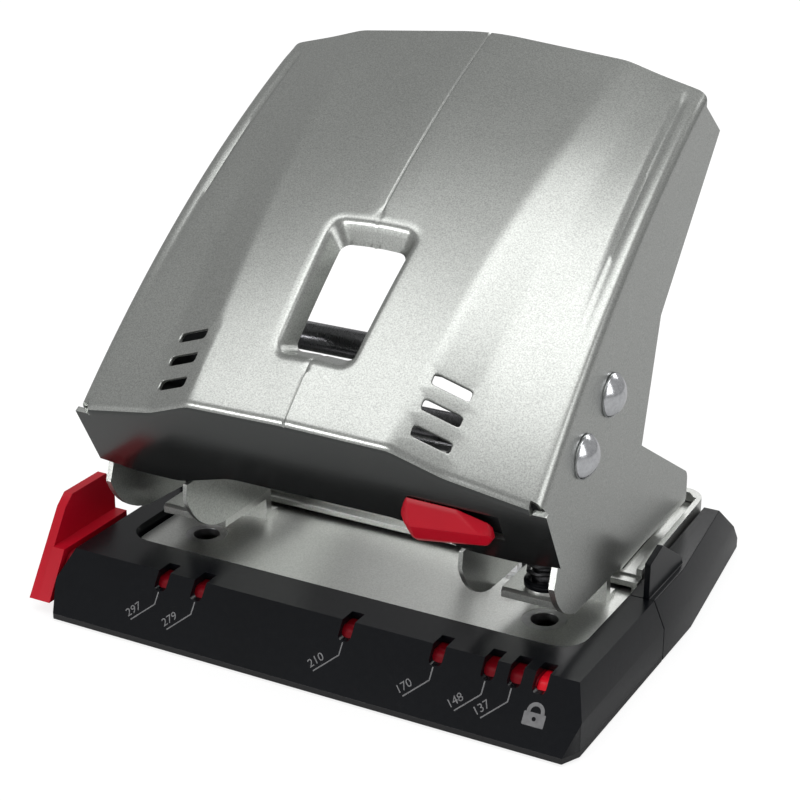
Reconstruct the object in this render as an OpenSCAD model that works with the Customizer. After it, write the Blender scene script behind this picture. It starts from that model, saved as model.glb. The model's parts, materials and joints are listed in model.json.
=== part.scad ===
// Heavy-duty two-hole lever punch with a sliding paper guide.
// Origin: centre of the underside. X runs right, Y runs back, Z runs up.

/* [Base] */
// Width of the black deck beside the bed, down to its lower edge
deck_side = 8.5; // [8:0.1:12]
// Distance from the rear axle back to the base's rear foot
hinge_setback = 24; // [22:0.5:28]
// Height of the black deck above the table
deck_h = 13.2; // [12.8:0.1:14.5]
// How far the front face leans back from its foot to the deck
front_lean = 8.4; // [6:0.1:9]
// How far the rear face leans forward from its foot to the deck
rear_lean = 11.4; // [9:0.1:12]
// Depth of the fixed front part, where the tray's seam lies
seam_d = 44.5; // [43:0.5:46]
// Wall thickness of the moulded base
base_wall = 1.5; // [1.2:0.1:2.2]
// How far each side draws in towards the rear corner
rear_draw = 4.4; // [3:0.1:5]

/* [Bed] */
// How far the pressed steel bed reaches out past the handle's side
bed_margin = 0.6; // [0.4:0.1:2]
// Distance from the base's front foot to the bed's front edge
bed_setback = 19.3; // [18.5:0.1:21]
// Depth of the bed below the deck
bed_sink = 2.2; // [1.8:0.1:2.6]
// Sheet thickness of bed and brackets
sheet = 1.2; // [1:0.1:1.4]
// Height of the rear platform above the bed
platform_rise = 3.8; // [3.4:0.1:4.2]

/* [Punching] */
// Distance between the two holes
hole_pitch = 80; // [78:0.5:82]
// Diameter of a punched hole
hole_d = 5.5; // [5:0.1:6]
// Distance from the base's front foot to the line of the holes
hole_setback = 31; // [30:0.5:32]
// Distance from the line of the holes back to the rear axle
hinge_reach = 47; // [45:0.5:50]
// Distance from the hole's centre to the paper's edge
hole_margin = 12; // [11.5:0.1:12.5]
// Height of the paper slot
slot_h = 5; // [4.6:0.1:5.1]
// Width of a punch tower
tower_w = 15.7; // [15:0.1:15.8]
// Thickness of a punch tower's plate
tower_t = 2; // [1.6:0.1:2.4]
// Length of a punch pin
pin_l = 19.9; // [19.5:0.1:20.3]
// Diameter of the return spring's wire
spring_wire = 0.9; // [0.7:0.05:1]
// Number of curls in a return spring
spring_turns = 7; // [5:1:8]

/* [Handle] */
// Room between a punch tower and the handle's side plate at the lip
handle_room = 1.7; // [1.4:0.1:3]
// How much narrower the handle is at its top edge than at its lip
handle_draw = 5.2; // [4:0.2:7]
// Height of the lip's corner above the table
lip_z = 48.1; // [46:0.1:50]
// Height of the handle's top corner above the table
top_z = 106.6; // [100:0.5:112]
// Distance from the lip's corner back to the handle's top corner
handle_reach = 80.5; // [78:0.5:84]
// Bulge of the handle's side profile
handle_bulge = 4.4; // [3.5:0.1:5]
// Height of the crown at the lip
lip_crown = 8.2; // [6:0.1:9]
// Height of the crown at the top edge
top_crown = 7.4; // [5:0.1:8]
// Depth of the lip along its slope
lip_depth = 17.5; // [16.5:0.1:18.5]
// Radius of the handle's pressed bends
bend_r = 1.8; // [1.4:0.1:2.2]
// Diameter of the two cross shafts
shaft_d = 6; // [5:0.1:6.5]
// Diameter of a domed shaft cap
cap_d = 8.8; // [8:0.1:9.5]
// Diameter of the rear axle
axle_d = 5; // [4:0.1:5.5]

/* [Guide and tray] */
// Height of the guide's upright wall above the table
guide_h = 21.6; // [19:0.1:24]
// Width of a format window
window_w = 2.8; // [2.4:0.1:3]
// Height of the tray's finger tab above the table
tab_h = 22.4; // [19:0.1:24]
// Room between the base's side and the guide's stop face when it stands at the lock mark
stop_room = 3.3; // [3:0.1:6]
// Travel of the lock button
lock_travel = 5; // [4:0.1:5]

/* [Fits] */
// Running clearance of a shaft in its bore, on the radius
run_fit = 0.03; // [0.02:0.01:0.06]
// Gap between pieces that slide past each other
gap = 0.3; // [0.25:0.05:0.4]

/* [Hidden] */
$fn = 48;

tiny = 0.01;
silver = [0.72, 0.73, 0.71];
black = [0.08, 0.09, 0.1];
red = [0.78, 0.05, 0.1];
steel = [0.55, 0.56, 0.58];

// Widths from the towers outwards, and the depth from the holes to the hinge
tower_shift = 0.15;
tower_out = hole_pitch / 2 + tower_w / 2 + tower_shift;
handle_w = 2 * (tower_out + handle_room + sheet);
handle_top_w = handle_w - handle_draw;
bed_w = handle_w + 2 * bed_margin;
base_w = bed_w + 2 * deck_side;
base_d = hole_setback + hinge_reach + hinge_setback;

// Base stations
foot_h = 0.3;
floor_t = 1.3;
floor_top = foot_h + floor_t;
front_y = -base_d / 2;
rear_y = base_d / 2;
deck_front_y = front_y + front_lean;
deck_rear_y = rear_y - rear_lean;
seam_y = front_y + seam_d;
half_w = base_w / 2;
bevel_in = 2.4;
bevel_z = deck_h - 5.7;
corner_in = 1.9;
corner_back = 4;

// Bed stations
bed_z = deck_h - bed_sink;
bed_front_y = front_y + bed_setback;
bed_half = bed_w / 2;
platform_z = bed_z + platform_rise;
platform_y = seam_y + 6.2;
pan_rear_y = deck_rear_y + 4.6;
pan_rear_half = bed_half - 1.6;
pan_skirt = 2.4;
pan_corner = 5;
ledge_z = bed_z - pan_skirt;
pan_room = 0.8;

// Punch stations
hole_y = front_y + hole_setback;
hole_r = hole_d / 2;
slot_top = bed_z + slot_h;
tower_top = slot_top + tower_t;
stop_y = hole_y + hole_margin;
tower_front = hole_y - 4;
tower_in = tower_out - tower_w;
latch_x = tower_in - 17.3;
boss_h = 1;
ring_h = 1.6;
pin_tip = slot_top + 0.2;
pin_top = pin_tip + pin_l;
pin_cap_h = 2.6;
pin_cap_r = 4.6;
coil_r = 3.65;

// Handle stations
pivot_y = hole_y + hinge_reach;
pivot_z = bed_z + 11;
lip_y = hole_y - 27.5;
lip_slope = 0.536;
lip_run = sqrt(1 + lip_slope * lip_slope);
lip_tilt = atan(lip_slope);
top_y = lip_y + handle_reach;
chord = [handle_reach, top_z - lip_z];
chord_l = norm(chord);
chord_dir = chord / chord_l;
chord_up = [-chord_dir.y, chord_dir.x];
bulge_r = chord_l * chord_l / 8 / handle_bulge + handle_bulge / 2;
bulge_a = asin(chord_l / 2 / bulge_r);
side_taper = atan((handle_w - handle_top_w) / 2 / handle_reach);
lower_shaft_at = [hole_y - 7.6, lip_z + 3.2];
upper_shaft_at = [hole_y + 5.2, lip_z + 10.8];
lever_t = 1;
lever_in = tower_in - 2 * gap - lever_t;
press_half = 7;

// Guide stations
lock_half_length = half_w + stop_room;
half_lengths = [148.5, 139.7, 105, 85, 74, 68.5];
lock_window_x = half_w - 9.8;
guide_zero = lock_window_x + lock_half_length;
stop_x = -lock_half_length;
stop_t = 2.2;
bar_y1 = deck_front_y + 5.4;
bar_z0 = floor_top + 1.6;
bar_z1 = deck_h - base_wall - gap;

// Point of the handle's side profile, t from 0 at the lip to 1 at the top
function profile(t) = let (a = (2 * t - 1) * bulge_a)
  [lip_y, lip_z] + chord_dir * (chord_l / 2 + bulge_r * sin(a))
  + chord_up * (bulge_r * cos(a) - bulge_r + handle_bulge);
function profile_up(t) = let (a = (2 * t - 1) * bulge_a) chord_up * cos(a) + chord_dir * sin(a);
function mix(a, b, t) = a + (b - a) * t;

// The skin's lines across half its width, from the ridge out, each as [x, height] at station t
function half_row(t) = let (
    w = side_x(profile(t).x) + 0.04,
    h = mix(lip_crown, top_crown, t),
    inner = [mix(22, 30.9, t), mix(0.94, 0.61, t) * h],
    outer = [mix(32.1, 38.5, t), mix(0.45, 0.31, t) * h],
    edge = [w - bend_r, mix(0.04, 0.03, t) * h])
  concat([mix([0, h], inner, 0.5)], soft_crease([0, h], inner, outer), soft_crease(inner, outer, edge),
    [edge], arc([w - bend_r, -bend_r], bend_r, 60, 0, 2));
// Three points that round off the crease at b
function soft_crease(a, b, c) = [b + (a - b) * 2.4 / norm(a - b), (a + 2 * b + c) / 4 * 0.12 + b * 0.88,
  b + (c - b) * 2.4 / norm(c - b)];
function crease_row(t) = let (half = half_row(t), h = mix(lip_crown, top_crown, t))
  concat(mirror_x(half), [[0, h]], half);
// A point of the skin at x, height h, station t and depth d under the surface
function skin_point(x, h, t, d) = let (p = profile(t) - profile_up(t) * d)
  [x, p.x - lip_slope * h * (1 - t), p.y + h];
// Half width of the handle's outer side face at depth y
function side_x(y) = handle_w / 2 - (y - lip_y) * tan(side_taper);

function arc(c, r, a0, a1, n) = [for (i = [0:n]) c + r * [cos(mix(a0, a1, i / n)), sin(mix(a0, a1, i / n))]];
function mirror_x(points) = [for (i = [len(points) - 1:-1:0]) [-points[i].x, points[i].y]];

module along_x(x0, x1) {
  translate([x0, 0, 0]) rotate([90, 0, 90]) linear_extrude(x1 - x0) children();
}

module bar_x(x0, x1, at, r) {
  translate([x0, at.x, at.y]) rotate([0, 90, 0]) cylinder(r = r, h = x1 - x0);
}

module slab(w, y0, y1, z0, z1) {
  translate([-w / 2, y0, z0]) cube([w, y1 - y0, z1 - z0]);
}

module both_sides() {
  children();
  mirror([1, 0, 0]) children();
}

// Base -------------------------------------------------------------------

// Plan of the fixed front part, drawn in by d
module front_plan(d) {
  polygon([[-half_w + corner_in + d, front_y + d], [half_w - corner_in - d, front_y + d],
    [half_w - d, front_y + corner_back + d], [half_w - d, seam_y], [-half_w + d, seam_y],
    [-half_w + d, front_y + corner_back + d]]);
}

module front_body(d) {
  intersection() {
    translate([0, 0, floor_top]) linear_extrude(deck_h - floor_top - d) front_plan(d);
    along_x(-half_w, half_w)
      polygon([[front_y + d, floor_top - 2], [front_y + d, floor_top], [deck_front_y + d, deck_h],
        [seam_y, deck_h], [seam_y, floor_top - 2]]);
    translate([0, seam_y, 0]) rotate([90, 0, 0]) linear_extrude(base_d)
      polygon([[-half_w + d, 0], [-half_w + d, bevel_z], [-half_w + bevel_in + d, deck_h],
        [half_w - bevel_in - d, deck_h], [half_w - d, bevel_z], [half_w - d, 0]]);
  }
}

module format_window(x) {
  r = 0.9;
  side = window_w / 2;
  z0 = deck_h - 3.3;
  translate([x, deck_front_y + 3.8, 0]) rotate([90, 0, 0]) linear_extrude(8.8)
    polygon(concat([[side, deck_h + 1], [-side, deck_h + 1]], arc([-side + r, z0 + r], r, 180, 270, 4),
      arc([side - r, z0 + r], r, 270, 360, 4)));
}

module rounded_front(w, y0, y1, r) {
  polygon(concat([[w, y1], [-w, y1]], arc([-w + r, y0 + r], r, 180, 270, 6),
    arc([w - r, y0 + r], r, 270, 360, 6)));
}

module base_housing() color(black) {
  bed_room = bed_half + pan_room;
  difference() {
    front_body(0);
    // guide channel behind the front wall
    intersection() {
      front_body(base_wall);
      slab(base_w * 2, front_y, bar_y1 + gap, 0, deck_h);
    }
    // the bed's pocket and the tray's room under it
    translate([0, 0, ledge_z]) linear_extrude(deck_h)
      rounded_front(bed_room, bed_front_y - pan_room, seam_y + 1, pan_corner + pan_room);
    slab(2 * (bed_half - 3.2), bed_front_y + 2, seam_y + 1, 0, deck_h);
    both_sides() translate([bed_half - 1.2, bed_front_y + 2, 0])
      cube([half_w - base_wall - bed_half + 1.2, seam_y - bed_front_y - 2 - base_wall, bevel_z - base_wall]);
    // mouth of the guide channel in the left side
    along_x(-half_w - 1, -half_w + 6) guide_section(gap);
    for (d = half_lengths) format_window(guide_zero - d);
    format_window(lock_window_x);
    for (x = [-1, 1]) translate([x * (bed_half - 2.4), bed_front_y + 8, 0])
      cylinder(r = 0.9, h = ledge_z + 1, $fn = 24);
  }
}

rail_in = bed_half - 4.8;
rail_out = rail_in + 1.6;
groove_floor = platform_z - 1.4;

module base_floor() color(black) {
  difference() {
    union() {
      translate([0, 0, foot_h]) linear_extrude(floor_t) front_plan(0);
      slab(2 * rail_out, seam_y - 1, deck_rear_y, foot_h, floor_top);
      both_sides() translate([rail_in, platform_y + 4, floor_top - tiny])
        cube([rail_out - rail_in, deck_rear_y - platform_y - 7, groove_floor - sheet - floor_top + tiny]);
    }
    translate([0, 0, -1]) linear_extrude(foot_h + 1.7) sole_plan(0.2);
    for (p = screw_places) translate([p.x, p.y, 0]) cylinder(r = 1.6, h = 5, $fn = 24);
  }
}

screw_places = [for (x = [-1, 1], y = [front_y + 14, seam_y - 5]) [x * (half_w - 5), y]];

// Plan of the non-slip sole, grown by d
module sole_plan(d) {
  w = half_w - 18 + d;
  y0 = front_y + 9 - d;
  y1 = deck_rear_y - 6 + d;
  r = 6 + d;
  polygon(concat(arc([-w + r, y0 + r], r, 180, 270, 6), arc([w - r, y0 + r], r, 270, 360, 6),
    arc([w - r, y1 - r], r, 0, 90, 6), arc([-w + r, y1 - r], r, 90, 180, 6)));
}

module rubber_sole() color([0.12, 0.12, 0.12])
  linear_extrude(foot_h + 0.7) sole_plan(0);

module floor_screws() color(steel)
  for (p = screw_places) translate([p.x, p.y, foot_h]) difference() {
    cylinder(r = 1.55, h = floor_t);
    for (a = [0, 90]) rotate(a) translate([-1, -0.2, -tiny]) cube([2, 0.4, 0.6]);
  }

// Bed --------------------------------------------------------------------

// Outline of the raised rear part of the bed, grown by d
module platform_plan(d, y0) {
  w0 = bed_half + d;
  w1 = pan_rear_half + d;
  r = pan_corner + d;
  y1 = pan_rear_y + d;
  polygon(concat([[-w0, y0], [w0, y0]], arc([w1 - r, y1 - r], r, 0, 90, 6),
    arc([-w1 + r, y1 - r], r, 90, 180, 6)));
}

// Path of the groove beside the handle's side plate
module side_groove(z0) {
  both_sides() translate([0, 0, z0]) linear_extrude(20)
    polygon([[side_x(seam_y) - 2.6, seam_y + 3], [side_x(seam_y) + 0.9, seam_y + 3],
      [side_x(pivot_y + 13) + 0.6, pivot_y + 13], [side_x(pivot_y + 13) - 2.6, pivot_y + 13]]);
}

module bed_pan() color(silver) {
  difference() {
    union() {
      // front bed with its turned-down edge
      difference() {
        translate([0, 0, ledge_z]) linear_extrude(bed_z - ledge_z)
          rounded_front(bed_half, bed_front_y, platform_y + 1, pan_corner);
        translate([0, 0, ledge_z - 1]) linear_extrude(bed_z - ledge_z - sheet + 1)
          rounded_front(bed_half - sheet, bed_front_y + sheet, platform_y + 2, pan_corner - sheet);
      }
      // two-stage step up to the rear platform
      difference() {
        union() {
          translate([0, 0, ledge_z]) linear_extrude(bed_z + platform_rise / 2 - ledge_z)
            platform_plan(0, seam_y + 6);
          translate([0, 0, ledge_z]) linear_extrude(platform_z - ledge_z) platform_plan(0, platform_y + 2.4);
        }
        translate([0, 0, ledge_z - 1]) linear_extrude(bed_z + platform_rise / 2 - ledge_z - sheet + 1)
          platform_plan(-sheet, seam_y + 6 - tiny);
        translate([0, 0, ledge_z - 1]) linear_extrude(platform_z - ledge_z - sheet + 1)
          platform_plan(-sheet, platform_y + 2.4 + sheet);
      }
      // raised boss at each rear corner
      both_sides() translate([pan_rear_half - 5.8, pan_rear_y - 5.8, platform_z - tiny])
        cylinder(r1 = 4.2, r2 = 3.4, h = 1);
      // floor of each side groove
      intersection() {
        side_groove(platform_z - 20 - 1.4);
        translate([0, 0, platform_z - 1.4 - sheet]) linear_extrude(sheet)
          platform_plan(-0.2, platform_y + 2.4);
      }
      // stiffening ribs pressed up along the platform
      both_sides() for (x = [10, 20]) translate([x, platform_y + 9, platform_z - tiny])
        rib(deck_rear_y - platform_y - 14);
    }
    side_groove(platform_z - 1.4);
    both_sides() translate([hole_pitch / 2, hole_y, 0]) cylinder(r = 4.5, h = deck_h * 2);
    for (p = bed_screw_places) translate([p.x, p.y, 0]) cylinder(r = 1.3, h = deck_h * 2, $fn = 24);
  }
}

module rib(l) {
  intersection() {
    translate([0, 0, -0.9]) rotate([-90, 0, 0]) cylinder(r = 1.9, h = l);
    translate([-2, 0, 0]) cube([4, l, 2]);
  }
}

bed_screw_places = [for (x = [-1, 1], y = [platform_y + 7, deck_rear_y - 3]) [x * (half_w - 27), y]];

module bed_screws() color(steel)
  for (p = bed_screw_places) translate([p.x, p.y, platform_z]) difference() {
    union() {
      intersection() {
        translate([0, 0, -2.6]) sphere(r = 3.8);
        cylinder(r = 3, h = 3);
      }
      translate([0, 0, -sheet]) cylinder(r = 1.28, h = sheet + tiny);
    }
    for (a = [0, 90]) rotate(a) translate([-1.4, -0.3, 0.6]) cube([2.8, 0.6, 2]);
  }

module die_bush(x) color(steel)
  translate([x, hole_y, ledge_z - 0.4]) difference() {
    cylinder(r = 4.48, h = bed_z - ledge_z + 0.4);
    translate([0, 0, -1]) cylinder(r = hole_r + run_fit, h = 10);
    translate([0, 0, -1]) cylinder(r = hole_r + 0.7, h = 2);
  }

module die_bush_left() die_bush(-hole_pitch / 2);
module die_bush_right() die_bush(hole_pitch / 2);

// Punch towers --------------------------------------------------------------

module punch_tower() color(silver) difference() {
  union() {
    // one bent strip: top plate, back stop and foot
    along_x(tower_in, tower_in + tower_w)
      polygon([[tower_front, slot_top], [tower_front, tower_top - 0.6], [tower_front + 0.6, tower_top],
        [stop_y + 1.4, tower_top], [stop_y + 2, tower_top - 0.6], [stop_y + 2, bed_z + sheet],
        [platform_y - 3.2, bed_z + sheet], [platform_y - 3.2, bed_z], [stop_y, bed_z], [stop_y, slot_top]]);
    translate([hole_pitch / 2, hole_y, tower_top - tiny]) cylinder(r1 = 4, r2 = 3.8, h = boss_h + tiny);
  }
  translate([hole_pitch / 2, hole_y, 0]) cylinder(r = hole_r + run_fit, h = 40);
  for (s = [-1, 1]) translate([hole_pitch / 2 + s * 5.4, stop_y + 3.4, 0]) cylinder(r = 1, h = 30, $fn = 24);
}

module punch_tower_right() punch_tower();
module punch_tower_left() mirror([1, 0, 0]) punch_tower();

module tower_rivets() color(steel)
  for (x = [-1, 1], s = [-1, 1]) translate([x * hole_pitch / 2 + s * 5.4, stop_y + 3.4, bed_z]) {
    cylinder(r = 0.98, h = sheet + tiny, $fn = 24);
    translate([0, 0, sheet]) cylinder(r1 = 1.3, r2 = 0.9, h = 0.8, $fn = 24);
  }

module pin_ring(x) color(black)
  translate([x, hole_y, tower_top + boss_h]) difference() {
    union() {
      cylinder(r = 4.3, h = ring_h * 0.6);
      translate([0, 0, ring_h * 0.6 - tiny]) cylinder(r1 = 4.3, r2 = 3.9, h = ring_h * 0.4);
    }
    translate([0, 0, -1]) cylinder(r = hole_r + 0.12, h = 10);
  }

module pin_ring_left() pin_ring(-hole_pitch / 2);
module pin_ring_right() pin_ring(hole_pitch / 2);

module punch_pin(x) color(steel)
  translate([x, hole_y, 0]) difference() {
    union() {
      translate([0, 0, pin_tip]) cylinder(r = hole_r, h = pin_l - 1);
      intersection() {
        translate([0, 0, pin_top - 6]) sphere(r = 6);
        translate([0, 0, pin_top - pin_cap_h]) cylinder(r = pin_cap_r, h = pin_cap_h + 1);
      }
    }
    // hollow-ground cutting tip
    translate([0, 0, pin_tip - 3.1]) rotate([0, 90, 0]) cylinder(r = 3.9, h = 20, center = true);
  }

module punch_pin_left() punch_pin(-hole_pitch / 2);
module punch_pin_right() punch_pin(hole_pitch / 2);

// One unbroken tube: straight ends one wire diameter long, and curls between
spring_z0 = tower_top + boss_h + ring_h + 0.05 + spring_wire / 2;
spring_z1 = pin_top - pin_cap_h - 0.05 - spring_wire / 2;
spring_steps = 8;
spring_sides = 6;
function coil_point(k) = let (a = 360 * k / spring_steps, n = spring_turns * spring_steps)
  [coil_r * cos(a), coil_r * sin(a), mix(spring_z0, spring_z1, k / n)];
coil_line = let (n = spring_turns * spring_steps)
  concat([coil_point(0) + [0, -spring_wire, 0]], [for (k = [0:n]) coil_point(k)],
    [coil_point(n) + [0, spring_wire, 0]]);
function unit(v) = v / norm(v);
function ring_at(line, i) = let (
    n = len(line) - 1,
    d = i == 0 || i == n ? [0, 1, 0] : unit(line[i + 1] - line[i - 1]),
    u = unit(cross(d, [0, 0, 1])),
    v = cross(u, d))
  [for (s = [0:spring_sides - 1]) let (a = 360 * s / spring_sides)
    line[i] + spring_wire / 2 * (u * cos(a) + v * sin(a))];
function tube_faces(n, m) = concat(
  [for (i = [0:n - 2], s = [0:m - 1], half = [0, 1]) let (
      a = i * m + s, b = i * m + (s + 1) % m, c = a + m, d = b + m)
    half == 0 ? [a, b, c] : [b, d, c]],
  [for (s = [1:m - 2]) [0, s + 1, s]],
  [for (s = [1:m - 2]) [(n - 1) * m, (n - 1) * m + s, (n - 1) * m + s + 1]]);
coil_gap = min([for (i = [0:len(coil_line) - 1], j = [i + spring_steps - 2:1:len(coil_line) - 1])
  norm(coil_line[i] - coil_line[j])]) - spring_wire;
echo(least_gap_between_spring_curls = coil_gap);

module return_spring(x) color(steel)
  translate([x, hole_y, 0])
    polyhedron([for (i = [0:len(coil_line) - 1]) each ring_at(coil_line, i)],
      tube_faces(len(coil_line), spring_sides));

module return_spring_left() return_spring(-hole_pitch / 2);
module return_spring_right() return_spring(hole_pitch / 2);

// Rear hinge -----------------------------------------------------------------

bracket_x = hole_pitch / 2 + 1.4;

module hinge_bracket() color(steel) difference() {
  union() {
    along_x(bracket_x, bracket_x + sheet)
      polygon(concat([[pivot_y - 7, platform_z], [pivot_y + 7, platform_z], [pivot_y + 5, pivot_z]],
        arc([pivot_y, pivot_z], 5, 0, 180, 12)));
    translate([bracket_x - 5.4, pivot_y - 7, platform_z]) cube([5.4 + tiny, 14, sheet]);
  }
  bar_x(bracket_x - 10, bracket_x + 10, [pivot_y, pivot_z], axle_d / 2 + run_fit);
}

module hinge_bracket_right() hinge_bracket();
module hinge_bracket_left() mirror([1, 0, 0]) hinge_bracket();

tail_boss_in = bracket_x + sheet + gap;
axle_half = side_x(pivot_y) - sheet - 0.4;

module pivot_axle() color(steel) bar_x(-axle_half, axle_half, [pivot_y, pivot_z], axle_d / 2);

// Handle -----------------------------------------------------------------

skin_rows = 14;

module skin() {
  stations = [for (i = [0:skin_rows]) i / skin_rows];
  row = len(crease_row(0));
  points = concat(
    [for (t = stations) each [for (c = crease_row(t)) skin_point(c.x, c.y, t, 0)]],
    [for (t = stations) each [for (c = crease_row(t)) skin_point(c.x, c.y, t, sheet)]]);
  under = row * (skin_rows + 1);
  function at(i, j) = i * row + j;
  faces = concat(
    [for (i = [0:skin_rows - 1], j = [0:row - 2], h = [0, 1])
      h == 0 ? [at(i, j), at(i + 1, j), at(i + 1, j + 1)] : [at(i, j), at(i + 1, j + 1), at(i, j + 1)]],
    [for (i = [0:skin_rows - 1], j = [0:row - 2], h = [0, 1])
      h == 0 ? [under + at(i, j), under + at(i + 1, j + 1), under + at(i + 1, j)]
        : [under + at(i, j), under + at(i, j + 1), under + at(i + 1, j + 1)]],
    [for (i = [0:skin_rows - 1], j = [0, row - 1], h = [0, 1]) let (
        a = at(i, j), b = at(i + 1, j), c = under + b, d = under + a, f = h == 0 ? [a, d, c] : [a, c, b])
      j == 0 ? f : [f[0], f[2], f[1]]],
    [for (i = [0, skin_rows], j = [0:row - 2], h = [0, 1]) let (
        a = at(i, j), b = at(i, j + 1), c = under + b, d = under + a, f = h == 0 ? [a, b, c] : [a, c, d])
      i == 0 ? f : [f[0], f[2], f[1]]]);
  polyhedron(points, faces);
}

// Places its child on the skin at station t, with Z out of the surface
module on_skin(x, h, t, roll = 0) {
  up = profile_up(t);
  translate(skin_point(x, h, t, 0)) rotate([-atan2(up.x, up.y), 0, 0]) rotate([0, roll, 0]) children();
}

// Rounded front of all four flanges, from the low edge up to the lip
flange_low = bed_z + 7.9;
flange_front = concat([[hole_y - 3, flange_low]],
  arc([hole_y - 5.5, flange_low + 15.4], 15.4, 262, 200, 8));

// Outline of a side plate, in Y and Z, from the lip round to the tail
side_outline = concat(
  [for (i = [0:12]) profile(i / 12) - profile_up(i / 12) * bend_r * 0.8],
  [[top_y + 9.6, top_z - 10], [pivot_y - 15.2, pivot_z + 44.3], [pivot_y - 22.8, pivot_z + 19.1]],
  arc([pivot_y + 4.6, pivot_z - 0.6], 3, 62, 0, 4),
  arc([pivot_y + 6.6, pivot_z - 4.7], 1, 0, -90, 3),
  flange_front,
  [[lip_y + lip_slope * 16 / lip_run + sheet * 0.6, lip_z - 16 / lip_run]]);

module side_plate() {
  translate([side_x(lip_y) - sheet, lip_y, 0]) rotate([0, 0, side_taper]) translate([0, -lip_y, 0])
    along_x(0, sheet) polygon(side_outline);
}

// Folded lip, drawn flat in X and distance down the slope
lip_half = [for (i = [0:6]) half_row(0)[i]];
lip_row = concat(mirror_x(lip_half), [[0, lip_crown]], lip_half);
lip_side = handle_w / 2 + 0.9;
lip_outline = concat(
  [for (c = lip_row) [c.x, 0.4 - c.y * lip_run]],
  [[lip_side - 3.2, -0.1], [lip_side - 3.2, 3.3], [lip_side, 3.5], [lip_side, lip_depth - 1.5],
   [lip_side - 9, lip_depth], [33, lip_depth], [20, lip_depth - 4.9], [-20, lip_depth - 4.9],
   [-33, lip_depth], [-lip_side + 9, lip_depth], [-lip_side, lip_depth - 1.5], [-lip_side, 3.5],
   [-lip_side + 3.2, 3.3], [-lip_side + 3.2, -0.1]]);

// Puts a flat outline on the lip: X across, Y down the slope, Z outwards
module on_lip() {
  translate([0, lip_y, lip_z]) rotate([-90 + lip_tilt, 0, 0]) mirror([0, 0, 1]) children();
}

lock_slot = [[latch_x + 11.5, 4.4], [latch_x + 21.5 + lock_travel, 11]];

// Funnel of the window, drawn in by d and longer by d at both ends
module window_funnel(d) {
  hull() for (s = [-1, 1], p = [[9.2, 0.45, 0.6], [7.6, 0.145, 0.6], [6.6, 0.41, -4.2], [5.8, 0.18, -4.2]])
    on_skin(s * (p.x - d), lip_crown, p.y + (p.y > 0.3 ? -d : d) / 100)
      translate([0, 0, p.z > 0 ? p.z + d : p.z - d]) cylinder(r = 1, h = 0.2, $fn = 12);
}

module vent_slots() {
  for (s = [-1, 1], t = [0.055, 0.108, 0.16]) let (h = mix(lip_crown, top_crown, t))
    on_skin(s * mix(28.3, 29.3, t), h * 0.68, t, s * 21)
      translate([-3.9, -1.1, -4]) cube([7.8, 2.2, 8]);
}

module tail_boss() {
  bar_x(tail_boss_in, side_x(pivot_y) - sheet / 2, [pivot_y, pivot_z], axle_d / 2 + 1.5);
}

module handle_shell() color(silver) {
  difference() {
    union() {
      difference() {
        skin();
        window_funnel(0);
        vent_slots();
      }
      difference() {
        intersection() {
          window_funnel(0);
          below_skin();
        }
        window_funnel(sheet);
      }
      both_sides() side_plate();
      lip_plate();
      both_sides() tail_boss();
    }
    for (p = [lower_shaft_at, upper_shaft_at]) bar_x(-handle_w, handle_w, p, shaft_d / 2 + run_fit);
    bar_x(-axle_half - gap, axle_half + gap, [pivot_y, pivot_z], axle_d / 2 + run_fit);
  }
}

// The room under the skin's outer surface, as wide as the window
module below_skin() {
  along_x(-12, 12) polygon(concat(
    [for (i = [0:skin_rows]) let (t = i / skin_rows,
        p = skin_point(0, mix(lip_crown, top_crown, t) - 0.5, t, 0))
      [p.y, p.z]],
    [[top_y, lip_z], [lip_y, lip_z - 10]]));
}

module lip_plate() {
  difference() {
    on_lip() translate([0, 0, -sheet]) linear_extrude(sheet) polygon(lip_outline);
    on_lip() translate([lock_slot[0].x, lock_slot[0].y, -5])
      cube([lock_slot[1].x - lock_slot[0].x, lock_slot[1].y - lock_slot[0].y, 10]);
  }
}

// Depth just inside the folded lip at height z
function lip_inner(z) = lip_y + lip_slope * (lip_z - z) + (sheet + gap) * lip_run;
lip_foot_z = lip_z - (lip_depth + gap) / lip_run;
latch_room = (1.5 + gap) * lip_run;
lever_outline = concat(
  [[lip_inner(lip_z - 1) + latch_room, lip_z - 1], [lip_inner(lip_foot_z) + latch_room, lip_foot_z],
   [flange_front[9].x + 0.4, lip_foot_z]],
  [for (i = [9:-1:0]) flange_front[i]],
  [[hole_y + 8, flange_low], [hole_y + 22, bed_z + 9.4], [pivot_y - 3, pivot_z - 5.5]],
  arc([pivot_y, pivot_z], 5.5, -90, 60, 8),
  [[hole_y + 24.3, bed_z + 30], [hole_y + 22, bed_z + 51], [hole_y + 12, bed_z + 58],
   [hole_y + 3, bed_z + 58]]);

module lever_plate() color([0.3, 0.31, 0.32]) difference() {
  along_x(lever_in, lever_in + lever_t) polygon(lever_outline);
  for (p = [lower_shaft_at, upper_shaft_at]) bar_x(0, handle_w, p, shaft_d / 2 + run_fit);
  bar_x(0, handle_w, [pivot_y, pivot_z], axle_d / 2 + run_fit);
}

module lever_plate_right() lever_plate();
module lever_plate_left() mirror([1, 0, 0]) lever_plate_right();

cap_base = 0.15;
function cap_x(at) = side_x(at.x) + cap_base;

module cross_shaft(at) color(steel) bar_x(-cap_x(at) - 1, cap_x(at) + 1, at, shaft_d / 2);
module upper_shaft() cross_shaft(upper_shaft_at);
module lower_shaft() cross_shaft(lower_shaft_at);

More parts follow.
